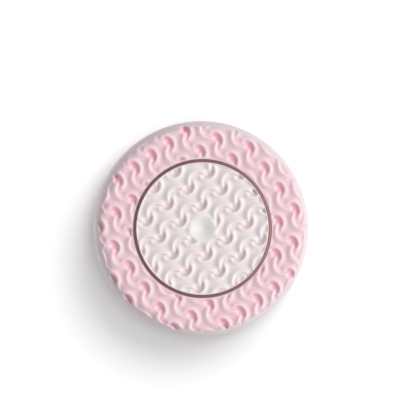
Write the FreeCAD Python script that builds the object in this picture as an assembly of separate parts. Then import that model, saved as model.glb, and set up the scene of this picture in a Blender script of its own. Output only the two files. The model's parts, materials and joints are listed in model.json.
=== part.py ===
"""Counter-rotating treatment head of a facial cleansing brush, in millimetres.

The head stands on its mounting collar with the working face up. Z is the drive axis and z = 0 is the rest
plane. A keyed drive shaft turns the hub and the inner disc. The sun teeth on the hub turn three planet gears on
fixed pins, and those turn the internal ring gear of the outer ring the other way.
"""

import math
import os

import FreeCAD
import Part

Vec = FreeCAD.Vector
UP = Vec(0, 0, 1)
AXIS_FOOT = Vec(0, 0, 0)

# Driving dimensions of the whole head
HEAD_R = 25.5
HEAD_H = 21.0
FACE_R = 23.8
ACCENT_OUT_R = 16.45
ACCENT_WIDTH = 0.7
RUN_GAP = 0.1
THRUST_GAP = 0.03
SEAT_PLAY = 0.2

# Gear train: a sun on the hub, three planets on fixed pins and a ring gear on the outer carrier
MODULE = 0.7
PRESSURE_ANGLE = math.radians(25)
SUN_TEETH = 24
PLANET_TEETH = 12
RING_TEETH = SUN_TEETH + 2 * PLANET_TEETH
PLANETS = 3
FIRST_PLANET_DEG = 90
ADDENDUM = 0.8 * MODULE
DEDENDUM = 1.0 * MODULE
TOOTH_THINNING = 0.05
SUN_PITCH_R = MODULE * SUN_TEETH / 2
PLANET_PITCH_R = MODULE * PLANET_TEETH / 2
RING_PITCH_R = MODULE * RING_TEETH / 2
PLANET_CENTRE_R = SUN_PITCH_R + PLANET_PITCH_R
GEAR_Z0 = 9.6
GEAR_Z1 = 13.6

# Chassis plate: the fixed disc between the gears and the collar
PLATE_Z0 = 7.0
PLATE_Z1 = 9.0
FLANGE_R = 20.8
BOSS_R = 8.2
BOSS_Z0 = 5.4
BUSH_OUT_R = 6.4

# Mounting collar, which plugs over the neck of a handle
COLLAR_R = 20.6
COLLAR_NECK_R = 19.3
COLLAR_STEP_Z = 4.5
COLLAR_FOOT_ROUND = 0.8
COLLAR_STEP_ROUND = 0.6
SOCKET_R = 15.5
LATCH_GROOVE_R = 17.0
LATCH_GROOVE_Z0 = 4.1
LATCH_GROOVE_Z1 = 5.3
KEY_SLOTS = 3
KEY_SLOT_WIDTH = 3.0
KEY_SLOT_DEPTH = 1.1
KEY_SLOT_H = 3.0
GASKET_H = 0.6
GASKET_IN_R = 9.2

# Latch ring: a three-lobed spring of round wire
LATCH_WIRE_R = 0.45
LATCH_FAR_R = 16.3
LATCH_NEAR_R = 15.3
LATCH_FLAT_OFFSET = 6.0
LATCH_SPLIT = 2.4

# Drive hub and its steel insert
HUB_SHAFT_R = 5.2
HUB_Z0 = 4.1
HUB_TOP_R = 7.5
HUB_Z1 = 15.4
INSERT_R = 3.6
DRIVE_BORE_R = 2.5
DRIVE_BORE_LENGTH = 8.0
DRIVE_KEY_WIDTH = 1.2
DRIVE_KEY_R = 3.1
CLIP_GROOVE_R = 4.7
CLIP_GROOVE_Z0 = 4.6
CLIP_GROOVE_H = 0.6
CLIP_R = 6.7
CLIP_T = 0.5
CLIP_MOUTH = 6.1
WASHER_R = 7.4
WASHER_T = 0.5

# Planet pins and their clips
PIN_R = 1.5
PIN_TOP_Z = 14.4
PIN_TOP_ROUND = 0.2
PIN_GROOVE_R = 1.1
PIN_CLIP_R = 2.4
PIN_CLIP_T = 0.3
PIN_CLIP_MOUTH = 1.65
PIN_CLIP_Z0 = 13.75
PLANET_BOSS_R = 2.6

# Inner disc
DISC_GAP = 0.12
INNER_PAD_R = ACCENT_OUT_R - ACCENT_WIDTH - DISC_GAP
INNER_PAD_EDGE = 0.5
INNER_CARRIER_R = 14.2
INNER_CARRIER_Z0 = HUB_Z1
INNER_CARRIER_Z1 = 17.4
INNER_HOOK_R = 13.5
INNER_HOOK_Z0 = 14.9
DIMPLE_R = 3.1
DIMPLE_DEPTH = 1.0

# Outer ring
CARRIER_R = 23.3
CARRIER_Z0 = 6.9
CARRIER_Z1 = 17.0
CARRIER_SHOULDER_Z = 9.4
CARRIER_CHAMFER = 2.2
RING_GEAR_R = 19.4
RING_STOP_R = 18.4
RETAINER_IN_R = 19.7
RETAINER_Z0 = 5.3
RETAINER_EDGE_ROUND = 0.3
ANCHORS = 12
FIRST_ANCHOR_DEG = 15
ANCHOR_R = 0.7
ANCHOR_CIRCLE_R = 17.45
PLATE_UNDER_Z = 14.4
RING_LUGS = 6
RING_LUG_WIDTH = 3.0
RING_LUG_DEPTH = 0.5
LUG_OVERCUT = 0.01

# Accent ring, whose top slopes down outwards
ACCENT_Z0 = CARRIER_Z1 - 2.0
ACCENT_Z1 = HEAD_H - 0.45
ACCENT_SLOPE = 0.15
ACCENT_ROUND = 0.12

# Outline of the outer tyre, from its foot up to the working face, as (r, z)
TYRE_FOOT_R = 24.4
TYRE_FOOT_ROUND = (25.1, RETAINER_Z0 + 0.3)
TYRE_LOW = (25.3, RETAINER_Z0 + 1.0)
TYRE_WIDEST = (HEAD_R, 11.0)
TYRE_HIGH = (25.45, 15.8)
TYRE_SHOULDER = (25.1, 18.5)
FACE_EDGE = (FACE_R, HEAD_H - 0.35)
FACE_EDGE_ROUND = (FACE_R - 0.3, HEAD_H - 0.1)
FACE_FLAT_R = FACE_R - 0.7
TYRE_LIP = 0.4

# Lip seal between the turning discs
SEAL_PLAY = 0.1
SEAL_ROOT_R = 16.2
SEAL_TIP_R = 15.0
SEAL_TIP_Z0 = 14.5
SEAL_TIP_Z1 = 14.78

# Screws: small cross-head screws of one shank size
SCREW_R = 0.7
SCREW_HEAD_R = 1.2
SCREW_HEAD_H = 0.8
CROSS_LENGTH = 1.3
CROSS_WIDTH = 0.35
CROSS_DEPTH = 0.45
CHASSIS_SCREWS = 4
CHASSIS_SCREW_CIRCLE_R = 18.1
CHASSIS_SCREW_LENGTH = 5.2
FIRST_CHASSIS_SCREW_DEG = 45
RETAINER_SCREWS = 6
RETAINER_SCREW_CIRCLE_R = 22.05
RETAINER_SCREW_LENGTH = 4.6
FIRST_RETAINER_SCREW_DEG = 30
INNER_SCREWS = 3
INNER_SCREW_CIRCLE_R = 5.7
INNER_SCREW_LENGTH = 6.0
FIRST_INNER_SCREW_DEG = 30


def revolve(*steps):
    """A solid turned round Z from an outline in (r, z). A step of four numbers is an arc through its first two."""
    points = [Vec(step[-2], 0, step[-1]) for step in steps]
    edges = []
    for index, step in enumerate(steps):
        start, end = points[index - 1], points[index]
        if len(step) == 4:
            edges.append(Part.Arc(start, Vec(step[0], 0, step[1]), end).toShape())
        elif (start - end).Length > 1e-6:
            edges.append(Part.LineSegment(start, end).toShape())
    face = Part.Face(Part.Wire(edges))
    return face.revolve(AXIS_FOOT, UP, 360)


def disc(radius, z0, z1, centre=(0, 0)):
    return Part.makeCylinder(radius, z1 - z0, Vec(centre[0], centre[1], z0))


def ring(inner, outer, z0, z1, centre=(0, 0)):
    return disc(outer, z0, z1, centre).cut(disc(inner, z0 - 1, z1 + 1, centre))


def polar(radius, degrees):
    angle = math.radians(degrees)
    return (radius * math.cos(angle), radius * math.sin(angle))


def circle_of(count, radius, first_deg=0.0):
    """Evenly spaced points on a circle, each with its angle in degrees."""
    angles = [first_deg + 360.0 * k / count for k in range(count)]
    return [(polar(radius, degrees), degrees) for degrees in angles]


def block(length, width, z0, z1, centre_r, degrees):
    """A box with its length along the radius, centred at that radius and turned to an angle."""
    shape = Part.makeBox(length, width, z1 - z0, Vec(centre_r - length / 2, -width / 2, z0))
    return shape.rotate(AXIS_FOOT, UP, degrees)


def circles_at(shape, z, radius, tolerance=1e-3):
    """The circular edges of a shape at one height and one radius, for rounding them."""
    found = []
    for edge in shape.Edges:
        curve = edge.Curve
        if hasattr(curve, "Radius") and abs(curve.Radius - radius) < tolerance:
            if abs(edge.BoundBox.ZMin - z) < tolerance and abs(edge.BoundBox.ZMax - z) < tolerance:
                found.append(edge)
    return found


def rounded(shape, fillets):
    """Rounds circular edges, each given as (z, radius of the edge, fillet radius)."""
    for z, edge_r, size in fillets:
        shape = shape.makeFillet(size, circles_at(shape, z, edge_r))
    return shape


def group(solids):
    return Part.makeCompound(solids)


# Gears

def involute(angle):
    return math.tan(angle) - angle


def gear_outline(teeth, root_r, tip_r, tooth_width, first_deg):
    """A closed wire of involute teeth. Each flank is one arc through three points of its involute."""
    pitch_r = MODULE * teeth / 2
    base_r = pitch_r * math.cos(PRESSURE_ANGLE)
    flank_r = max(base_r, root_r)

    def half_width(radius):
        shift = involute(PRESSURE_ANGLE) - involute(math.acos(min(1.0, base_r / radius)))
        return tooth_width / (2 * pitch_r) + shift

    def at(radius, centre, side):
        angle = centre + side * half_width(max(radius, flank_r))
        return Vec(radius * math.cos(angle), radius * math.sin(angle), 0)

    edges = []
    pitch = 2 * math.pi / teeth
    for k in range(teeth):
        centre = math.radians(first_deg) + k * pitch
        for side in (-1, 1):
            foot, start = at(root_r, centre, side), at(flank_r, centre, side)
            middle, tip = at((flank_r + tip_r) / 2, centre, side), at(tip_r, centre, side)
            if root_r < flank_r:
                edges.append(Part.LineSegment(foot, start).toShape())
            edges.append(Part.Arc(start, middle, tip).toShape())
        crest = Vec(tip_r * math.cos(centre), tip_r * math.sin(centre), 0)
        edges.append(Part.Arc(at(tip_r, centre, -1), crest, at(tip_r, centre, 1)).toShape())
        gap = centre + pitch / 2
        valley = Vec(root_r * math.cos(gap), root_r * math.sin(gap), 0)
        edges.append(Part.Arc(at(root_r, centre, 1), valley, at(root_r, centre + pitch, -1)).toShape())
    return Part.Wire(Part.__sortEdges__(edges))


def gear_prism(teeth, root_r, tip_r, tooth_width, first_deg, z0, z1):
    face = Part.Face(gear_outline(teeth, root_r, tip_r, tooth_width, first_deg))
    face.translate(Vec(0, 0, z0))
    return face.extrude(Vec(0, 0, z1 - z0))


def external_teeth(teeth, first_deg, z0, z1):
    pitch_r = MODULE * teeth / 2
    width = math.pi * MODULE / 2 - TOOTH_THINNING
    return gear_prism(teeth, pitch_r - DEDENDUM, pitch_r + ADDENDUM, width, first_deg, z0, z1)


# Screws

def screw(length, z_head, centre, head_up=True):
    """A cross-head screw with its head's outer face at z_head, pointing down if head_up and up if not."""
    shape = disc(SCREW_HEAD_R, -SCREW_HEAD_H, 0).fuse(disc(SCREW_R, -length, -SCREW_HEAD_H))
    for degrees in (0, 90):
        shape = shape.cut(block(CROSS_LENGTH, CROSS_WIDTH, -CROSS_DEPTH, 1, 0, degrees))
    if not head_up:
        shape.rotate(AXIS_FOOT, Vec(1, 0, 0), 180)
    shape.translate(Vec(centre[0], centre[1], z_head))
    return shape.removeSplitter()


def screw_hole(length, z_head, centre, head_up=True):
    """The space that a screw fills, with no play, for cutting it out of the pieces it holds."""
    way = -1 if head_up else 1
    head_end, tip = z_head + way * SCREW_HEAD_H, z_head + way * length
    head = disc(SCREW_HEAD_R, min(z_head, head_end), max(z_head, head_end), centre)
    return head.fuse(disc(SCREW_R, min(head_end, tip), max(head_end, tip), centre))


def chassis_screw_places():
    circle = circle_of(CHASSIS_SCREWS, CHASSIS_SCREW_CIRCLE_R, FIRST_CHASSIS_SCREW_DEG)
    return [place for place, _ in circle]


def retainer_screw_places():
    circle = circle_of(RETAINER_SCREWS, RETAINER_SCREW_CIRCLE_R, FIRST_RETAINER_SCREW_DEG)
    return [place for place, _ in circle]


def inner_screw_places():
    return [place for place, _ in circle_of(INNER_SCREWS, INNER_SCREW_CIRCLE_R, FIRST_INNER_SCREW_DEG)]


def planet_places():
    return [place for place, _ in circle_of(PLANETS, PLANET_CENTRE_R, FIRST_PLANET_DEG)]


# Fixed body

def base_collar():
    shape = revolve(
        (SOCKET_R, 0.0), (COLLAR_R, 0.0), (COLLAR_R, COLLAR_STEP_Z), (COLLAR_NECK_R, COLLAR_STEP_Z),
        (COLLAR_NECK_R, PLATE_Z0), (SOCKET_R, PLATE_Z0), (SOCKET_R, LATCH_GROOVE_Z1),
        (LATCH_GROOVE_R, LATCH_GROOVE_Z1), (LATCH_GROOVE_R, LATCH_GROOVE_Z0), (SOCKET_R, LATCH_GROOVE_Z0),
    )
    shape = rounded(shape, [(0.0, COLLAR_R, COLLAR_FOOT_ROUND), (COLLAR_STEP_Z, COLLAR_R, COLLAR_STEP_ROUND)])
    for _, degrees in circle_of(KEY_SLOTS, SOCKET_R, 0):
        slot = block(2 * KEY_SLOT_DEPTH, KEY_SLOT_WIDTH, -1, KEY_SLOT_H, SOCKET_R, degrees)
        shape = shape.cut(slot)
    for place in chassis_screw_places():
        shape = shape.cut(screw_hole(CHASSIS_SCREW_LENGTH, PLATE_Z1, place))
    return shape


def chassis_plate():
    """The fixed plate with the running flange, the boss for the bush and the seats of the planet pins."""
    shape = revolve(
        (BUSH_OUT_R, BOSS_Z0), (BOSS_R, BOSS_Z0), (BOSS_R, PLATE_Z0), (FLANGE_R, PLATE_Z0),
        (FLANGE_R, PLATE_Z1), (BUSH_OUT_R, PLATE_Z1),
    )
    for place in planet_places():
        shape = shape.cut(disc(PIN_R, PLATE_Z0 - 1, PLATE_Z1 + 1, place))
    for place in chassis_screw_places():
        shape = shape.cut(screw_hole(CHASSIS_SCREW_LENGTH, PLATE_Z1, place))
    return shape


def chassis_screws():
    return group([screw(CHASSIS_SCREW_LENGTH, PLATE_Z1, place) for place in chassis_screw_places()])


def center_bush():
    return ring(HUB_SHAFT_R + RUN_GAP / 2, BUSH_OUT_R, BOSS_Z0, PLATE_Z1)


def planet_pins():
    groove = ring(PIN_GROOVE_R, PIN_R + 1, PIN_CLIP_Z0, PIN_CLIP_Z0 + PIN_CLIP_T)
    pin = disc(PIN_R, PLATE_Z0, PIN_TOP_Z).cut(groove)
    pin = rounded(pin, [(PIN_TOP_Z, PIN_R, PIN_TOP_ROUND)])
    pins = []
    for x, y in planet_places():
        one = pin.copy()
        one.translate(Vec(x, y, 0))
        pins.append(one)
    return group(pins)


def open_clip(inner, outer, z0, thickness, mouth):
    """A C-shaped clip with its mouth towards +X."""
    shape = ring(inner, outer, z0, z0 + thickness)
    return shape.cut(block(outer, mouth, z0 - 1, z0 + thickness + 1, outer / 2 + inner / 2, 0))


def pin_clips():
    clips = []
    for (x, y), degrees in circle_of(PLANETS, PLANET_CENTRE_R, FIRST_PLANET_DEG):
        clip = open_clip(PIN_GROOVE_R, PIN_CLIP_R, PIN_CLIP_Z0, PIN_CLIP_T, PIN_CLIP_MOUTH)
        clip.rotate(AXIS_FOOT, UP, degrees)
        clip.translate(Vec(x, y, 0))
        clips.append(clip)
    return group(clips)


def latch_ring():
    """Six tangent arcs: three tight lobes that sit in the groove and three flat runs that grip the neck."""
    flat_r = LATCH_NEAR_R + LATCH_FLAT_OFFSET
    reach = flat_r - LATCH_FAR_R
    lobe_offset = (LATCH_FLAT_OFFSET ** 2 - reach ** 2) / (2 * reach - LATCH_FLAT_OFFSET)
    lobe_r = LATCH_FAR_R - lobe_offset
    z = (LATCH_GROOVE_Z0 + LATCH_GROOVE_Z1) / 2
    split_half = math.degrees(LATCH_SPLIT / 2 / LATCH_FAR_R)

    def lobe_point(lobe_deg, degrees):
        cx, cy = polar(lobe_offset, lobe_deg)
        x, y = polar(lobe_r, degrees)
        return Vec(cx + x, cy + y, z)

    def join_angle(lobe_deg, flat_deg):
        """The direction from the flat run's centre to the lobe's centre, where both arcs share a tangent."""
        cx, cy = polar(lobe_offset, lobe_deg)
        fx, fy = polar(-LATCH_FLAT_OFFSET, flat_deg)
        return math.degrees(math.atan2(cy - fy, cx - fx))

    edges = []
    for k in range(3):
        lobe_deg = 60 + 120 * k
        out_deg = join_angle(lobe_deg, lobe_deg + 60)
        in_deg = 2 * lobe_deg - out_deg
        next_deg = join_angle(lobe_deg + 120, lobe_deg + 60)
        flat_middle = Vec(*polar(LATCH_NEAR_R, lobe_deg + 60), z)
        flat = Part.Arc(lobe_point(lobe_deg, out_deg), flat_middle, lobe_point(lobe_deg + 120, next_deg))
        spans = [(in_deg, out_deg)]
        if k == 0:
            spans = [(in_deg, lobe_deg - split_half), (lobe_deg + split_half, out_deg)]
        for a, b in spans:
            a, b = lobe_deg + wrap(a - lobe_deg), lobe_deg + wrap(b - lobe_deg)
            edges.append(Part.Arc(lobe_point(lobe_deg, a), lobe_point(lobe_deg, (a + b) / 2),
                                  lobe_point(lobe_deg, b)).toShape())
        edges.append(flat.toShape())
    path = Part.Wire(Part.__sortEdges__(edges))
    start = path.OrderedVertexes[0].Point
    tangent = path.OrderedEdges[0].tangentAt(path.OrderedEdges[0].FirstParameter)
    section = Part.Wire(Part.makeCircle(LATCH_WIRE_R, start, tangent))
    return path.makePipeShell([section], True, True)


def wrap(degrees):
    """The same angle between -180 and 180."""
    return (degrees + 180) % 360 - 180


def neck_gasket():
    return ring(GASKET_IN_R, SOCKET_R - SEAT_PLAY, PLATE_Z0 - GASKET_H, PLATE_Z0)


# Inner body

def drive_hub():
    shaft = disc(HUB_SHAFT_R, HUB_Z0, GEAR_Z0)
    teeth = external_teeth(SUN_TEETH, FIRST_PLANET_DEG, GEAR_Z0, GEAR_Z1)
    top = disc(HUB_TOP_R, GEAR_Z1, HUB_Z1)
    shape = shaft.fuse([teeth, top]).removeSplitter()
    shape = shape.cut(disc(INSERT_R, HUB_Z0 - 1, HUB_Z0 + DRIVE_BORE_LENGTH))
    shape = shape.cut(ring(CLIP_GROOVE_R, HUB_SHAFT_R + 1, CLIP_GROOVE_Z0, CLIP_GROOVE_Z0 + CLIP_GROOVE_H))
    for place in inner_screw_places():
        shape = shape.cut(screw_hole(INNER_SCREW_LENGTH, INNER_CARRIER_Z1, place))
    return shape


def drive_insert():
    """The steel sleeve in the hub. Its bore takes the drive shaft, and two keyways take the shaft's keys."""
    shape = ring(DRIVE_BORE_R, INSERT_R, HUB_Z0, HUB_Z0 + DRIVE_BORE_LENGTH)
    keyway = block(2 * DRIVE_KEY_R, DRIVE_KEY_WIDTH, HUB_Z0 - 1, HUB_Z0 + DRIVE_BORE_LENGTH + 1, 0, 0)
    return shape.cut(keyway)


def hub_washer():
    z0 = PLATE_Z1 + THRUST_GAP
    return ring(HUB_SHAFT_R + SEAT_PLAY, WASHER_R, z0, z0 + WASHER_T)


def hub_clip():
    z0 = CLIP_GROOVE_Z0 + (CLIP_GROOVE_H - CLIP_T) / 2
    return open_clip(CLIP_GROOVE_R, CLIP_R, z0, CLIP_T, CLIP_MOUTH)


def inner_carrier():
    shape = disc(INNER_CARRIER_R, INNER_CARRIER_Z0, INNER_CARRIER_Z1)
    for place in inner_screw_places():
        shape = shape.cut(screw_hole(INNER_SCREW_LENGTH, INNER_CARRIER_Z1, place))
    return shape


def inner_screws():
    return group([screw(INNER_SCREW_LENGTH, INNER_CARRIER_Z1, place) for place in inner_screw_places()])


def inner_pad():
    """The soft cap of the inner disc, hooked round the carrier's rim, with a dimple at its centre."""
    round_in = INNER_PAD_EDGE * (1 - math.sqrt(0.5))
    sphere_r = (DIMPLE_R ** 2 + DIMPLE_DEPTH ** 2) / (2 * DIMPLE_DEPTH)
    half_way_z = HEAD_H - DIMPLE_DEPTH + sphere_r - math.sqrt(sphere_r ** 2 - DIMPLE_R ** 2 / 4)
    shape = revolve(
        (0.0, INNER_CARRIER_Z1), (INNER_CARRIER_R, INNER_CARRIER_Z1), (INNER_CARRIER_R, INNER_CARRIER_Z0),
        (INNER_HOOK_R, INNER_CARRIER_Z0), (INNER_HOOK_R, INNER_HOOK_Z0), (INNER_PAD_R, INNER_HOOK_Z0),
        (INNER_PAD_R, HEAD_H - INNER_PAD_EDGE),
        (INNER_PAD_R - round_in, HEAD_H - round_in, INNER_PAD_R - INNER_PAD_EDGE, HEAD_H),
        (DIMPLE_R, HEAD_H), (DIMPLE_R / 2, half_way_z, 0.0, HEAD_H - DIMPLE_DEPTH),
    )
    return shape


# Outer body

def anchor_places():
    return [place for place, _ in circle_of(ANCHORS, ANCHOR_CIRCLE_R, FIRST_ANCHOR_DEG)]


def outer_carrier():
    """The rigid frame of the outer ring: bore on the flange, seat of the ring gear and top plate."""
    shape = revolve(
        (FLANGE_R + RUN_GAP, CARRIER_Z0), (CARRIER_R, CARRIER_Z0), (CARRIER_R, CARRIER_Z1 - CARRIER_CHAMFER),
        (CARRIER_R - CARRIER_CHAMFER, CARRIER_Z1), (ACCENT_OUT_R, CARRIER_Z1), (ACCENT_OUT_R, PLATE_UNDER_Z),
        (RING_STOP_R, PLATE_UNDER_Z), (RING_STOP_R, GEAR_Z1), (RING_GEAR_R, GEAR_Z1),
        (RING_GEAR_R, CARRIER_SHOULDER_Z), (FLANGE_R + RUN_GAP, CARRIER_SHOULDER_Z),
    )
    for _, degrees in circle_of(RING_LUGS, RING_GEAR_R, 0):
        shape = shape.cut(ring_lug(degrees, CARRIER_SHOULDER_Z - LUG_OVERCUT))
    for place in anchor_places():
        shape = shape.cut(disc(ANCHOR_R, PLATE_UNDER_Z - 1, CARRIER_Z1 + 1, place))
    for place in retainer_screw_places():
        shape = shape.cut(screw_hole(RETAINER_SCREW_LENGTH, RETAINER_Z0, place, head_up=False))
    return shape


def ring_lug(degrees, z0):
    """One of the keys that stop the ring gear from turning in its carrier."""
    return block(2 * RING_LUG_DEPTH, RING_LUG_WIDTH, z0, GEAR_Z1, RING_GEAR_R, degrees)


def ring_gear():
    width = math.pi * MODULE / 2 + TOOTH_THINNING
    first_gap = FIRST_PLANET_DEG + 180.0 / RING_TEETH
    cut = gear_prism(RING_TEETH, RING_PITCH_R - ADDENDUM, RING_PITCH_R + DEDENDUM, width, first_gap,
                     GEAR_Z0 - 1, GEAR_Z1 + 1)
    shape = disc(RING_GEAR_R, GEAR_Z0, GEAR_Z1)
    for _, degrees in circle_of(RING_LUGS, RING_GEAR_R, 0):
        shape = shape.fuse(ring_lug(degrees, GEAR_Z0))
    return shape.cut(cut).removeSplitter()


def glide_ring():
    z0 = PLATE_Z1 + THRUST_GAP
    return ring(RING_GEAR_R + SEAT_PLAY, FLANGE_R - RUN_GAP, z0, CARRIER_SHOULDER_Z - THRUST_GAP)


def retainer_ring():
    shape = ring(RETAINER_IN_R, CARRIER_R, RETAINER_Z0, CARRIER_Z0)
    shape = rounded(shape, [(RETAINER_Z0, RETAINER_IN_R, RETAINER_EDGE_ROUND)])
    for place in retainer_screw_places():
        shape = shape.cut(screw_hole(RETAINER_SCREW_LENGTH, RETAINER_Z0, place, head_up=False))
    return shape


def retainer_screws():
    places = retainer_screw_places()
    return group([screw(RETAINER_SCREW_LENGTH, RETAINER_Z0, place, head_up=False) for place in places])


def lip_seal():
    """The wiper that keeps cleanser out of the gears, fixed to the outer carrier and under the inner cap."""
    body_r = RING_STOP_R - SEAL_PLAY
    body_z0 = GEAR_Z1 + SEAL_PLAY
    return revolve(
        (body_r, body_z0), (body_r, PLATE_UNDER_Z), (ACCENT_OUT_R, PLATE_UNDER_Z), (SEAL_TIP_R, SEAL_TIP_Z1),
        (SEAL_TIP_R, SEAL_TIP_Z0), (SEAL_ROOT_R, body_z0),
    )


def accent_ring():
    inner_r = ACCENT_OUT_R - ACCENT_WIDTH
    low_z = ACCENT_Z1 - ACCENT_SLOPE
    shape = revolve(
        (inner_r, ACCENT_Z0), (ACCENT_OUT_R, ACCENT_Z0), (ACCENT_OUT_R, low_z), (inner_r, ACCENT_Z1),
    )
    return rounded(shape, [(ACCENT_Z1, inner_r, ACCENT_ROUND), (low_z, ACCENT_OUT_R, ACCENT_ROUND)])


def outer_pad():
    """The soft tyre of the outer ring: flat working face, round shoulder, skirt and moulded anchors."""
    shape = revolve(
        (ACCENT_OUT_R, CARRIER_Z1), (CARRIER_R - CARRIER_CHAMFER, CARRIER_Z1),
        (CARRIER_R, CARRIER_Z1 - CARRIER_CHAMFER), (CARRIER_R, RETAINER_Z0), (TYRE_FOOT_R, RETAINER_Z0),
        TYRE_FOOT_ROUND + TYRE_LOW, TYRE_WIDEST + TYRE_HIGH, TYRE_SHOULDER + FACE_EDGE,
        FACE_EDGE_ROUND + (FACE_FLAT_R, HEAD_H), (ACCENT_OUT_R + TYRE_LIP, HEAD_H),
        (ACCENT_OUT_R, HEAD_H - TYRE_LIP),
    )
    for place in anchor_places():
        shape = shape.fuse(disc(ANCHOR_R, PLATE_UNDER_Z, CARRIER_Z1, place))
    return shape.removeSplitter()


# Planets

def planet_gear(place):
    first_deg = FIRST_PLANET_DEG + 180.0 / PLANET_TEETH
    shape = external_teeth(PLANET_TEETH, first_deg, GEAR_Z0, GEAR_Z1)
    shape = shape.fuse(disc(PLANET_BOSS_R, PLATE_Z1 + THRUST_GAP, GEAR_Z0)).removeSplitter()
    shape = shape.cut(disc(PIN_R + RUN_GAP / 2, PLATE_Z1 - 1, GEAR_Z1 + 1))
    shape.translate(Vec(place[0], place[1], 0))
    return shape


def all_parts():
    parts = {
        "base_collar": base_collar(),
        "chassis_plate": chassis_plate(),
        "chassis_screws": chassis_screws(),
        "center_bush": center_bush(),
        "planet_pins": planet_pins(),
        "pin_clips": pin_clips(),
        "latch_ring": latch_ring(),
        "neck_gasket": neck_gasket(),
        "drive_hub": drive_hub(),
        "drive_insert": drive_insert(),
        "hub_washer": hub_washer(),
        "hub_clip": hub_clip(),
        "inner_carrier": inner_carrier(),
        "inner_screws": inner_screws(),
        "inner_pad": inner_pad(),
        "outer_carrier": outer_carrier(),
        "ring_gear": ring_gear(),
        "glide_ring": glide_ring(),
        "retainer_ring": retainer_ring(),
        "retainer_screws": retainer_screws(),
        "lip_seal": lip_seal(),
        "accent_ring": accent_ring(),
        "outer_pad": outer_pad(),
    }
    for number, place in enumerate(planet_places(), start=1):
        parts[f"planet_gear_{number}"] = planet_gear(place)
    return parts


def main():
    os.makedirs("parts", exist_ok=True)
    for name, shape in all_parts().items():
        solids = shape.Solids
        valid = all(solid.isValid() and solid.isClosed() for solid in solids)
        print(f"{name}: {len(solids)} solids, {shape.Volume:.1f} mm3, valid {valid}")
        shape.exportStep(f"parts/{name}.step")


main()
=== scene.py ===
import json
import math

import bpy
import numpy as np
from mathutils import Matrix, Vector

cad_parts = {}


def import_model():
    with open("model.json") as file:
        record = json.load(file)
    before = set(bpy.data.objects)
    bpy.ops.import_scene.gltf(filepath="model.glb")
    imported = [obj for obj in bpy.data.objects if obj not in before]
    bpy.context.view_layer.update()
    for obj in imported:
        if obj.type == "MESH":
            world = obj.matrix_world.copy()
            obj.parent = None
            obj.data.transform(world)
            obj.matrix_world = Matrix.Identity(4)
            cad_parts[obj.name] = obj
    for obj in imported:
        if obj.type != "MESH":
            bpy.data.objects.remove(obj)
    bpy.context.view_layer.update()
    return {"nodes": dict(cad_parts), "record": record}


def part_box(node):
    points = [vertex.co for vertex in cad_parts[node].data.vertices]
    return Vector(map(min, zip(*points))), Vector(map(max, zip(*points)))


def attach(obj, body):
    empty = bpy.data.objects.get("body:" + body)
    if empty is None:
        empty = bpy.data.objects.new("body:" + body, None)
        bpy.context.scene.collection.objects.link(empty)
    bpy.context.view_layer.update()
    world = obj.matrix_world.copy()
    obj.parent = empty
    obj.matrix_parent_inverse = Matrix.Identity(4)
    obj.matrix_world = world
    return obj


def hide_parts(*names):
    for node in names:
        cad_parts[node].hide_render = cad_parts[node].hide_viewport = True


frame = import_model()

nodes = frame["nodes"]
MM = 0.001

# Places read from the frame, in millimetres


def node_box(name):
    """Lowest and highest corner of a CAD node."""
    low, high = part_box(name)
    return np.array(low) / MM, np.array(high) / MM


RIM_REACH = 0.06  # how far the cap's rim reaches past its CAD solid, to leave only a hairline to the ring
FACE_Z = node_box("outer_pad")[1][2]
SKIRT_Z = node_box("outer_pad")[0][2]
HEAD_R = node_box("outer_pad")[1][0]
ACCENT_OUT_R = node_box("accent_ring")[1][0]
CARRIER_R = node_box("outer_carrier")[1][0]
CARRIER_TOP_Z = node_box("outer_carrier")[1][2]
INNER_R = node_box("inner_pad")[1][0] + RIM_REACH
HOOK_Z = node_box("inner_pad")[0][2]
INNER_CARRIER_R = node_box("inner_carrier")[1][0]
INNER_CARRIER_TOP_Z = node_box("inner_carrier")[1][2]
INNER_CARRIER_LOW_Z = node_box("inner_carrier")[0][2]


# The moulded texture, in millimetres
# Every row holds two families of round-backed ridges, half a long pitch apart: bowls, which open one way, and
# arches, which open the other way and have their feet in the next bowls. A ridge is steep inside its curve and
# slopes away gently outside it. Inside a bowl the surface dips, as far as the bowl's open edge.

BOWLS = dict(
    centre=(2.85, 0.275), radius=2.04, ridge=0.50, inner_width=0.35, outer_width=0.54, reach=1.59, widen=1.07,
    flare=0.04, way=1, hollow=1.5, hollow_width=1.15, edge=-0.3, edge_bend=-0.08,
)
ARCHES = dict(
    centre=(5.93, 0.09), radius=1.76, ridge=0.68, inner_width=0.40, outer_width=0.99, reach=1.76, widen=0.79,
    flare=-0.44, way=-1,
)
REACH_FADE = 0.07
EDGE_FADE = 0.2
TIP_ROUND = 0.0006
CREST = 0.73
INNER_TEXTURE = dict(long_pitch=6.153, short_pitch=5.009, turn=37.6, hand=1, shift=(-0.05, 0.06))
OUTER_TEXTURE = dict(long_pitch=6.062, short_pitch=4.948, turn=-53.7, hand=-1, shift=(-0.15, 0.06))


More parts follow.
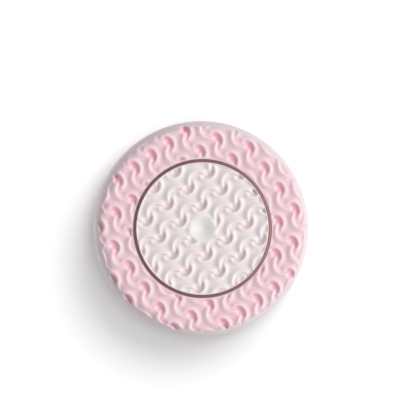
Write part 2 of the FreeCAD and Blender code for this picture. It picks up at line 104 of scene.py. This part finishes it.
def ridge_row(x, y, long_pitch, short_pitch, centre, radius, ridge, inner_width, outer_width, reach, widen,
              flare, way, hollow=0.0, hollow_width=1.0, edge=0.0, edge_bend=0.0):
    """Height that one family of ridges and hollows adds at x, y, summed over the neighbouring repeats."""
    total = np.zeros_like(x)
    near_x = (x - centre[0] + long_pitch / 2) % long_pitch - long_pitch / 2
    near_y = (y - centre[1] + short_pitch / 2) % short_pitch - short_pitch / 2
    for column in (-1, 0, 1):
        for row in (-2, -1, 0, 1, 2):
            dx = (near_x + column * long_pitch) / widen
            dy = (near_y + row * short_pitch) * way
            angle = np.arctan2(np.sqrt(dx ** 2 + TIP_ROUND), -dy)
            inward = radius - flare * angle ** 2 - np.hypot(dx, dy)
            width = np.where(inward > 0, inner_width, outer_width)
            crest = ridge * np.exp(-(inward / width) ** 2) * fall(angle, reach, REACH_FADE)
            dip = hollow * (1 - np.exp(-(np.maximum(inward, 0) / hollow_width) ** 2))
            dip *= fall(dy, edge + edge_bend * dx ** 2, EDGE_FADE)
            total += crest - dip
    return total


def fall(value, place, fade):
    """A soft step down from 1 to 0 at a place."""
    return 1 / (1 + np.exp((value - place) / fade))


def texture_depth(x, y, long_pitch, short_pitch, turn, hand, shift):
    """Depth of the moulded texture below the working face at x, y."""
    angle = math.radians(turn)
    along = x * math.cos(angle) + y * math.sin(angle) + shift[0]
    across = hand * (y * math.cos(angle) - x * math.sin(angle)) + shift[1]
    rows = [ridge_row(along, across, long_pitch, short_pitch, **family) for family in (BOWLS, ARCHES)]
    return np.maximum(CREST - sum(rows), 0)


def smooth_step(value, low, high):
    """A soft ramp from 0 at low to 1 at high."""
    t = np.clip((value - low) / (high - low), 0, 1)
    return t * t * (3 - 2 * t)


def soft_min(a, b, softness):
    """The lower of two heights, with the corner between them rounded."""
    return -softness * np.logaddexp(-a / softness, -b / softness)


# Outlines of the turned pieces, as (r, z) in millimetres

def line(start, end, step):
    """Points of a straight run from start to end, without its last point."""
    count = max(1, round(math.dist(start, end) / step))
    return [tuple(np.array(start) + (np.array(end) - start) * k / count) for k in range(count)]


def arc(start, through, end, count):
    """Points of the arc from start through a middle point to end, without its last point."""
    ax, ay = start
    bx, by = through
    cx, cy = end
    d = 2 * (ax * (by - cy) + bx * (cy - ay) + cx * (ay - by))
    ux = ((ax**2 + ay**2) * (by - cy) + (bx**2 + by**2) * (cy - ay) + (cx**2 + cy**2) * (ay - by)) / d
    uy = ((ax**2 + ay**2) * (cx - bx) + (bx**2 + by**2) * (ax - cx) + (cx**2 + cy**2) * (bx - ax)) / d
    radius = math.dist((ux, uy), start)
    first = math.atan2(ay - uy, ax - ux)
    middle = (math.atan2(by - uy, bx - ux) - first) % (2 * math.pi)
    last = (math.atan2(cy - uy, cx - ux) - first) % (2 * math.pi)
    if middle > last:
        last -= 2 * math.pi
    angles = [first + last * k / count for k in range(count)]
    return [(ux + radius * math.cos(a), uy + radius * math.sin(a)) for a in angles]


def lathe(name, outline, segments, closed, height=None):
    """A turned mesh. An open outline starts and ends on the axis; height moves its points to a new z."""
    rings = np.array(outline)
    turn = np.linspace(0, 2 * math.pi, segments, endpoint=False)
    x = rings[:, :1] * np.cos(turn)
    y = rings[:, :1] * np.sin(turn)
    z = np.repeat(rings[:, 1:], segments, axis=1)
    if height:
        z = height(x, y, z)
    points = np.stack([x, y, z], -1).reshape(-1, 3) * MM
    count = len(rings)
    index = np.arange(count * segments).reshape(count, segments)
    beside = np.roll(index, -1, axis=1)
    if closed:
        above, above_beside = np.roll(index, -1, axis=0), np.roll(beside, -1, axis=0)
        quads = np.stack([index, beside, above_beside, above], -1).reshape(-1, 4)
        faces = quads.tolist()
    else:
        quads = np.stack([index[:-1], beside[:-1], beside[1:], index[1:]], -1).reshape(-1, 4)
        foot, tip = len(points), len(points) + 1
        low_z, high_z = z[0].mean() * MM, z[-1].mean() * MM
        points = np.vstack([points, [0, 0, low_z], [0, 0, high_z]])
        faces = quads.tolist()
        faces += [[int(b), int(a), foot] for a, b in zip(index[0], beside[0])]
        faces += [[int(a), int(b), tip] for a, b in zip(index[-1], beside[-1])]
    mesh = bpy.data.meshes.new(name)
    mesh.from_pydata(points.tolist(), [], faces)
    mesh.polygons.foreach_set("use_smooth", [True] * len(mesh.polygons))
    mesh.update()
    piece = bpy.data.objects.new(name, mesh)
    bpy.context.scene.collection.objects.link(piece)
    return piece


# The two silicone pieces

TEXTURE_STEP = 0.13
EDGE_STEP = 0.6
TOP_STEP = 1.6
WALL_STEP = 3.0
OUTER_SEGMENTS = 864
INNER_SEGMENTS = 640

EDGE_MARGIN = 0.5
RING_MARGIN = 0.8
MARGIN_START = 0.1
RIM_DROP = 0.2
RING_DROP = 0.45
LIP = 0.4
LIP_MIDDLE = 0.12
OUTER_SOFTNESS = 0.04
INNER_SOFTNESS = 0.05
WALL_PLAY = 0.01
TOP_BAND = 2.5
CAP_BAND = 1.0

DIMPLE_R = 3.5
DIMPLE_DEPTH = 1.0
DIMPLE_RIM = 0.3
DIMPLE_BLEND = 0.7

FACE_R = HEAD_R - 1.7
FACE_EDGE = 0.5
FACE_EDGE_DROP = 0.35
FACE_EDGE_MIDDLE = (FACE_R - 0.17, FACE_Z - 0.08)
SHOULDER_MIDDLE = (25.1, 18.5)
SIDE_TOP = (HEAD_R - 0.06, 15.8)
SIDE_MIDDLE = (HEAD_R, 11.0)
SIDE_FOOT = (HEAD_R - 0.2, SKIRT_Z + 1.0)
FOOT_MIDDLE = (HEAD_R - 0.4, SKIRT_Z + 0.3)
FOOT_R = HEAD_R - 1.1
CARRIER_CHAMFER = 2.2

SHOULDER_R = HEAD_R - 2.4
SHOULDER_BEND = 0.66
NOTCH_GAIN = 0.6
NOTCH_START = SHOULDER_R - 0.2
NOTCH_END = SHOULDER_R + 1.0

HOOK_WIDTH = 0.7
HOOK_STEP = 0.3
HOOK_FOOT_STEP = 0.5
SEAT_STEP = 1.0
SEAT_FOOT_STEP = 0.4
POLE_LOW_R = 0.6
POLE_TOP_R = 0.25


def outer_outline():
    """The closed section of the outer silicone tyre, clockwise from its inner foot."""
    ring_foot = (ACCENT_OUT_R, CARRIER_TOP_Z)
    lip_foot = (ACCENT_OUT_R, FACE_Z - LIP)
    lip_top = (ACCENT_OUT_R + LIP, FACE_Z)
    face_end = (FACE_R - FACE_EDGE, FACE_Z)
    shoulder = (FACE_R, FACE_Z - FACE_EDGE_DROP)
    foot = (FOOT_R, SKIRT_Z)
    chamfer_low = (CARRIER_R, CARRIER_TOP_Z - CARRIER_CHAMFER)
    chamfer_top = (CARRIER_R - CARRIER_CHAMFER, CARRIER_TOP_Z)
    points = line(ring_foot, lip_foot, EDGE_STEP)
    points += arc(lip_foot, (ACCENT_OUT_R + LIP_MIDDLE, FACE_Z - LIP_MIDDLE), lip_top, 4)
    points += line(lip_top, face_end, TEXTURE_STEP)
    points += arc(face_end, FACE_EDGE_MIDDLE, shoulder, 6)
    points += arc(shoulder, SHOULDER_MIDDLE, SIDE_TOP, 22)
    points += arc(SIDE_TOP, SIDE_MIDDLE, SIDE_FOOT, 9)
    points += arc(SIDE_FOOT, FOOT_MIDDLE, foot, 6)
    points += line(foot, (CARRIER_R, SKIRT_Z), EDGE_STEP)
    points += line((CARRIER_R, SKIRT_Z), chamfer_low, WALL_STEP)
    points += line(chamfer_low, chamfer_top, TOP_STEP)
    points += line(chamfer_top, ring_foot, TOP_STEP)
    return points


def outer_height(x, y, z):
    """The tyre's top after the texture is cut: the scoops break out through the shoulder, and stop at the lip."""
    radius = np.hypot(x, y)
    kept = smooth_step(radius, ACCENT_OUT_R + MARGIN_START, ACCENT_OUT_R + RING_MARGIN)
    deeper = 1 + NOTCH_GAIN * smooth_step(radius, NOTCH_START, NOTCH_END)
    floor_z = FACE_Z - texture_depth(x, y, **OUTER_TEXTURE) * kept * deeper - RING_DROP * (1 - kept)
    working = (z > FACE_Z - TOP_BAND) & (radius > ACCENT_OUT_R + WALL_PLAY)
    return np.where(working, soft_min(z, floor_z, OUTER_SOFTNESS), z)


def inner_outline():
    """The section of the inner silicone cap, from its underside on the axis to its top on the axis."""
    hook_r = INNER_CARRIER_R - HOOK_WIDTH
    seat_rim = (INNER_CARRIER_R, INNER_CARRIER_TOP_Z)
    seat_foot = (INNER_CARRIER_R, INNER_CARRIER_LOW_Z)
    lip_foot = (INNER_R, FACE_Z - LIP)
    lip_top = (INNER_R - LIP, FACE_Z)
    points = line((POLE_LOW_R, INNER_CARRIER_TOP_Z), seat_rim, WALL_STEP)
    points += line(seat_rim, seat_foot, SEAT_STEP)
    points += line(seat_foot, (hook_r, INNER_CARRIER_LOW_Z), SEAT_FOOT_STEP)
    points += line((hook_r, INNER_CARRIER_LOW_Z), (hook_r, HOOK_Z), HOOK_STEP)
    points += line((hook_r, HOOK_Z), (INNER_R, HOOK_Z), HOOK_FOOT_STEP)
    points += line((INNER_R, HOOK_Z), lip_foot, EDGE_STEP)
    points += arc(lip_foot, (INNER_R - LIP_MIDDLE, FACE_Z - LIP_MIDDLE), lip_top, 4)
    points += line(lip_top, (POLE_TOP_R, FACE_Z), TEXTURE_STEP)
    return points


def inner_height(x, y, z):
    """The cap's top: the texture stops at the lip and at the smooth round dimple in the middle."""
    radius = np.hypot(x, y)
    kept = smooth_step(INNER_R - radius, MARGIN_START, EDGE_MARGIN)
    relief = texture_depth(x, y, **INNER_TEXTURE) * kept + RIM_DROP * (1 - kept)
    dimple = DIMPLE_RIM + DIMPLE_DEPTH * smooth_step(radius, DIMPLE_R, 0)
    inside = smooth_step(radius, DIMPLE_R + DIMPLE_BLEND, DIMPLE_R - DIMPLE_BLEND)
    floor_z = FACE_Z - relief * (1 - inside) - dimple * inside
    working = (z > FACE_Z - CAP_BAND) & (radius < INNER_R - WALL_PLAY)
    return np.where(working, soft_min(z, floor_z, INNER_SOFTNESS), z)


outer = lathe("outer_silicone", outer_outline(), OUTER_SEGMENTS, True, outer_height)
inner = lathe("inner_silicone", inner_outline(), INNER_SEGMENTS, False, inner_height)
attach(outer, "outer_ring")
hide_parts("outer_pad")
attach(inner, "inner_disc")
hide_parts("inner_pad")


# Materials

class Recipe:
    """A node material, built one step at a time around a single Principled shader."""

    def __init__(self, name, **settings):
        self.material = bpy.data.materials.new(name)
        self.material.use_nodes = True
        self.tree = self.material.node_tree
        self.shader = self.tree.nodes["Principled BSDF"]
        for socket, value in settings.items():
            self.shader.inputs[socket.replace("_", " ")].default_value = value
        self.place = self.tree.nodes.new("ShaderNodeTexCoord").outputs["Object"]

    def node(self, kind, inputs=None, **settings):
        """Add a node; an input is either a plain value or the socket that feeds it."""
        made = self.tree.nodes.new(kind)
        for key, value in settings.items():
            setattr(made, key, value)
        for key, value in (inputs or {}).items():
            if isinstance(value, bpy.types.NodeSocket):
                self.tree.links.new(value, made.inputs[key])
            else:
                made.inputs[key].default_value = value
        return made

    def noise(self, size_mm, detail=3.0, stretch=(1, 1, 1)):
        """Noise with grains of about size_mm, fixed to the object."""
        place = self.node("ShaderNodeMapping", {"Vector": self.place, "Scale": stretch}).outputs["Vector"]
        made = self.node("ShaderNodeTexNoise", {"Vector": place, "Scale": 1 / (size_mm * MM), "Detail": detail})
        return made.outputs["Fac"]

    def ramp(self, value, low, high, out_low, out_high):
        """Carry the range low to high over to out_low to out_high, clamped."""
        made = self.node("ShaderNodeMapRange", {"Value": value, "From Min": low, "From Max": high,
                                                "To Min": out_low, "To Max": out_high})
        return made.outputs["Result"]

    def maths(self, operation, first, second):
        """Combine two values by one operation."""
        return self.node("ShaderNodeMath", {0: first, 1: second}, operation=operation).outputs["Value"]

    def mix(self, factor, first, second):
        """Blend from the first colour at 0 to the second at 1."""
        return self.node("ShaderNodeMix", {0: factor, 6: first, 7: second}, data_type="RGBA").outputs[2]

    def link(self, output, socket):
        """Feed an output into a socket of the shader."""
        self.tree.links.new(output, self.shader.inputs[socket])

    def bump(self, height, depth_mm, strength=1.0):
        """Add fine grain that is too small to be geometry."""
        made = self.node("ShaderNodeBump", {"Height": height, "Distance": depth_mm * MM, "Strength": strength})
        self.link(made.outputs["Normal"], "Normal")


# Painted shade: between these two depths below the working face, the silicone colour turns from the crest colour
# to the darker, pinker hollow colour.
SHADE_FULL_DEPTH = 1.4
SHADE_START_DEPTH = 0.6
# Painted sheen: over these radii the pink tyre's colour turns to its paler, greyer side colour, standing in for
# the sheen of the steep shoulder.
SHEEN_BAND = (HEAD_R - 1.9, HEAD_R - 1.4)
# Past these radii the skirt takes no painted shade.
SKIRT_BAND = (HEAD_R - 0.9, HEAD_R - 0.5)
# Below these heights the colour is the side colour with no painted shade. On the pink tyre this is painted sheen
# on the side wall, with the same colour underneath. On the white cap it is the plain colour of its side and
# underside.
UNDER_BAND = (FACE_Z - 4.0, FACE_Z - 3.0)
# The dimple, and this much around it, takes no painted shade.
DIMPLE_FADE = 0.8
CLOUD_TINT = 0.12
NOISE_LOW = 0.3
NOISE_HIGH = 0.7


def silicone(name, crest, hollow, side, scatter_mm):
    """Soft moulded silicone with scattering and satin. Painted shade: the colour turns darker and pinker deep in
    the texture's hollows. The paler side colour is painted sheen on the tyre's steep side, and the plain colour of
    the dimple and the underside.
    """
    made = Recipe(name, Subsurface_Weight=0.7, Subsurface_Radius=scatter_mm, Subsurface_Scale=MM,
                  Specular_IOR_Level=0.2)
    z = made.node("ShaderNodeSeparateXYZ", {"Vector": made.place}).outputs["Z"]
    flat = made.node("ShaderNodeVectorMath", {0: made.place, 1: (1, 1, 0)}, operation="MULTIPLY").outputs[0]
    radius = made.node("ShaderNodeVectorMath", {0: flat}, operation="LENGTH").outputs["Value"]
    # The shoulder's fall is added back to the height, so the rounded shoulder takes no painted shade.
    past = made.ramp(radius, SHOULDER_R * MM, HEAD_R * MM, 0.0, HEAD_R - SHOULDER_R)
    fallen = made.maths("MULTIPLY", made.maths("MULTIPLY", past, past), SHOULDER_BEND * MM)
    level = made.maths("ADD", z, fallen)
    # Painted shade: 0 deep in the texture's hollows, which take the darker, pinker hollow colour; 1 at the crests.
    depth = made.ramp(level, (FACE_Z - SHADE_FULL_DEPTH) * MM, (FACE_Z - SHADE_START_DEPTH) * MM, 0.0, 1.0)
    dimple = made.ramp(radius, DIMPLE_R * MM, (DIMPLE_R + DIMPLE_FADE) * MM, 1.0, 0.0)
    # Painted sheen: on the tyre's steep shoulder the colour turns to the paler side colour.
    beside = made.ramp(radius, SHEEN_BAND[0] * MM, SHEEN_BAND[1] * MM, 0.0, 1.0)
    outside = made.ramp(radius, SKIRT_BAND[0] * MM, SKIRT_BAND[1] * MM, 0.0, 1.0)
    # Low down, on the side wall and underside, the colour is the side colour. On the pink tyre this is painted
    # sheen; on the white cap it is plain tone.
    under = made.ramp(z, UNDER_BAND[0] * MM, UNDER_BAND[1] * MM, 1.0, 0.0)
    # The dimple and the low parts take the side colour and no painted shade. The skirt past its band also takes no
    # painted shade.
    smooth = made.maths("MAXIMUM", dimple, under)
    unshaded = made.maths("MAXIMUM", depth, made.maths("MAXIMUM", smooth, outside))
    # Painted shade: the hollow colour where the texture is deep. Elsewhere the crest colour, turning to the side
    # colour on the side, the dimple and the underside.
    face = made.mix(unshaded, hollow, made.mix(made.maths("MAXIMUM", beside, smooth), crest, side))
    cloud = made.ramp(made.noise(6.0, 2.0), NOISE_LOW, NOISE_HIGH, 0.0, CLOUD_TINT)
    made.link(made.mix(cloud, face, hollow), "Base Color")
    grain = made.noise(0.12, 4.0)
    made.link(made.ramp(grain, NOISE_LOW, NOISE_HIGH, 0.46, 0.60), "Roughness")
    made.bump(grain, 0.006, 0.5)
    return made.material


def shaded(colour, factor):
    """The same colour, darker."""
    return tuple(factor * part for part in colour[:3]) + (1.0,)


def metal(name, colour, roughness, grain_mm, stretch=(1, 1, 1)):
    """Brushed or turned metal with a fine grain in tint, roughness and height."""
    made = Recipe(name, Metallic=1.0)
    grain = made.noise(grain_mm, 5.0, stretch)
    made.link(made.mix(grain, shaded(colour, 0.86), colour), "Base Color")
    made.link(made.ramp(grain, 0.25, 0.75, roughness - 0.08, roughness + 0.1), "Roughness")
    made.bump(grain, 0.004, 0.6)
    return made.material


def plastic(name, colour, roughness, grain_mm, scatter=0.0):
    """Moulded plastic with faint patches in tint and a fine grain."""
    made = Recipe(name, Subsurface_Weight=scatter, Subsurface_Radius=(0.6, 0.5, 0.45), Subsurface_Scale=MM)
    grain = made.noise(grain_mm, 4.0)
    patch = made.ramp(made.noise(7.0, 2.0), NOISE_LOW, NOISE_HIGH, 0.0, 1.0)
    made.link(made.mix(patch, shaded(colour, 0.93), colour), "Base Color")
    made.link(made.ramp(grain, NOISE_LOW, NOISE_HIGH, roughness - 0.07, roughness + 0.07), "Roughness")
    made.bump(grain, 0.01, 0.6)
    return made.material


materials = {
    # For the pink tyre, hollow is painted shade in the texture's hollows. Side is painted sheen on the steep
    # shoulder and side wall, with the same colour on the underside.
    "pink_silicone": silicone(
        "pink_silicone", crest=(0.87, 0.68, 0.725, 1), hollow=(0.84, 0.44, 0.51, 1), side=(0.725, 0.635, 0.667, 1),
        scatter_mm=(1.1, 0.5, 0.55),
    ),
    # For the white cap, hollow is painted shade in the texture's hollows. Side is the plain paler colour of the
    # dimple, the cap's side and its underside.
    "white_silicone": silicone(
        "white_silicone", crest=(0.85, 0.785, 0.79, 1), hollow=(0.80, 0.64, 0.635, 1), side=(0.84, 0.81, 0.81, 1),
        scatter_mm=(0.8, 0.65, 0.65),
    ),
    "rose_metal": metal("rose_metal", (0.35, 0.172, 0.174, 1), 0.62, 0.25, (1, 1, 6)),
    "ivory_plastic": plastic("ivory_plastic", (0.80, 0.72, 0.72, 1), 0.45, 0.2, 0.15),
    "chassis_plastic": plastic("chassis_plastic", (0.56, 0.54, 0.54, 1), 0.55, 0.3),
    "acetal": plastic("acetal", (0.74, 0.71, 0.64, 1), 0.36, 0.4, 0.25),
    "planet_acetal": plastic("planet_acetal", (0.34, 0.37, 0.42, 1), 0.36, 0.4, 0.1),
    "ptfe": plastic("ptfe", (0.86, 0.86, 0.84, 1), 0.5, 0.5, 0.3),
    "seal_silicone": plastic("seal_silicone", (0.60, 0.57, 0.57, 1), 0.5, 0.2, 0.4),
    "steel": metal("steel", (0.60, 0.60, 0.61, 1), 0.3, 0.4),
    "spring_steel": metal("spring_steel", (0.52, 0.52, 0.54, 1), 0.22, 0.3),
    "bronze": metal("bronze", (0.56, 0.37, 0.18, 1), 0.42, 0.15),
}

for part in frame["record"]["subparts"]:
    cad = nodes[part["node"]]
    cad.data.materials.clear()
    cad.data.materials.append(materials[part["material_slot"]])
outer.data.materials.append(materials["pink_silicone"])
inner.data.materials.append(materials["white_silicone"])


# Stage, camera and light, in metres

FLOOR_SIZE = 3.0
CAMERA_TILT_DEG = 3.6
CAMERA_DISTANCE = 0.7
VIEW_WIDTH = 0.0955
VIEW_CENTRE = Vector((-0.00016, 0.00674, 0.0135))
SENSOR_MM = 36  # the one width here that is in millimetres
CLIP_START = 0.01
SURROUND = 0.42


def floor():
    """The plain pale plane that the head stands on."""
    bpy.ops.mesh.primitive_plane_add(size=FLOOR_SIZE, location=(0, 0, 0))
    plane = bpy.context.object
    plane.name = "floor"
    made = Recipe("floor_white", Roughness=0.9, Specular_IOR_Level=0.1)
    cloud = made.noise(60.0, 2.0)
    made.link(made.mix(cloud, (0.90, 0.90, 0.90, 1), (0.92, 0.92, 0.92, 1)), "Base Color")
    plane.data.materials.append(made.material)
    return plane


def place_camera():
    """A long lens almost straight above, leaning a little towards -X."""
    tilt = math.radians(CAMERA_TILT_DEG)
    data = bpy.data.cameras.new("camera")
    data.sensor_width = SENSOR_MM
    data.lens = SENSOR_MM * CAMERA_DISTANCE / VIEW_WIDTH
    data.clip_start = CLIP_START
    camera = bpy.data.objects.new("camera", data)
    away = Vector((-math.sin(tilt), 0, math.cos(tilt)))
    camera.location = VIEW_CENTRE + away * CAMERA_DISTANCE
    camera.rotation_euler = (0, -tilt, 0)
    bpy.context.scene.collection.objects.link(camera)
    bpy.context.scene.camera = camera


def area_light(name, azimuth, elevation, distance, size, power):
    """A round soft lamp that points at the head from the given direction, in degrees."""
    data = bpy.data.lights.new(name, "AREA")
    data.shape = "DISK"
    data.size = size
    data.energy = power
    lamp = bpy.data.objects.new(name, data)
    a = math.radians(azimuth)
    e = math.radians(elevation)
    way = Vector((math.cos(a) * math.cos(e), math.sin(a) * math.cos(e), math.sin(e)))
    lamp.location = way * distance
    lamp.rotation_euler = way.to_track_quat("Z", "Y").to_euler()
    bpy.context.scene.collection.objects.link(lamp)
    return lamp


def light_link(lamp, thing, state):
    """Make a lamp light only one thing, or everything but that thing."""
    group = bpy.data.collections.new(lamp.name + "_receivers")
    group.objects.link(thing)
    group.collection_objects[0].light_linking.link_state = state
    lamp.light_linking.receiver_collection = group


def world(strength):
    """An even white surround."""
    made = bpy.data.worlds.new("studio")
    made.use_nodes = True
    background = made.node_tree.nodes["Background"]
    background.inputs["Color"].default_value = (1, 1, 1, 1)
    background.inputs["Strength"].default_value = strength
    bpy.context.scene.world = made


ground = floor()
place_camera()
world(SURROUND)
key = area_light("key", azimuth=3, elevation=50, distance=1.2, size=0.5, power=10.6)
shadow = area_light("shadow", azimuth=56, elevation=61, distance=1.2, size=0.65, power=8.0)
floor_fill = area_light("floor_fill", azimuth=0, elevation=90, distance=1.5, size=0.6, power=6.5)
light_link(key, ground, "EXCLUDE")
light_link(shadow, ground, "INCLUDE")
light_link(floor_fill, ground, "INCLUDE")
bpy.context.scene.view_settings.view_transform = "Standard"
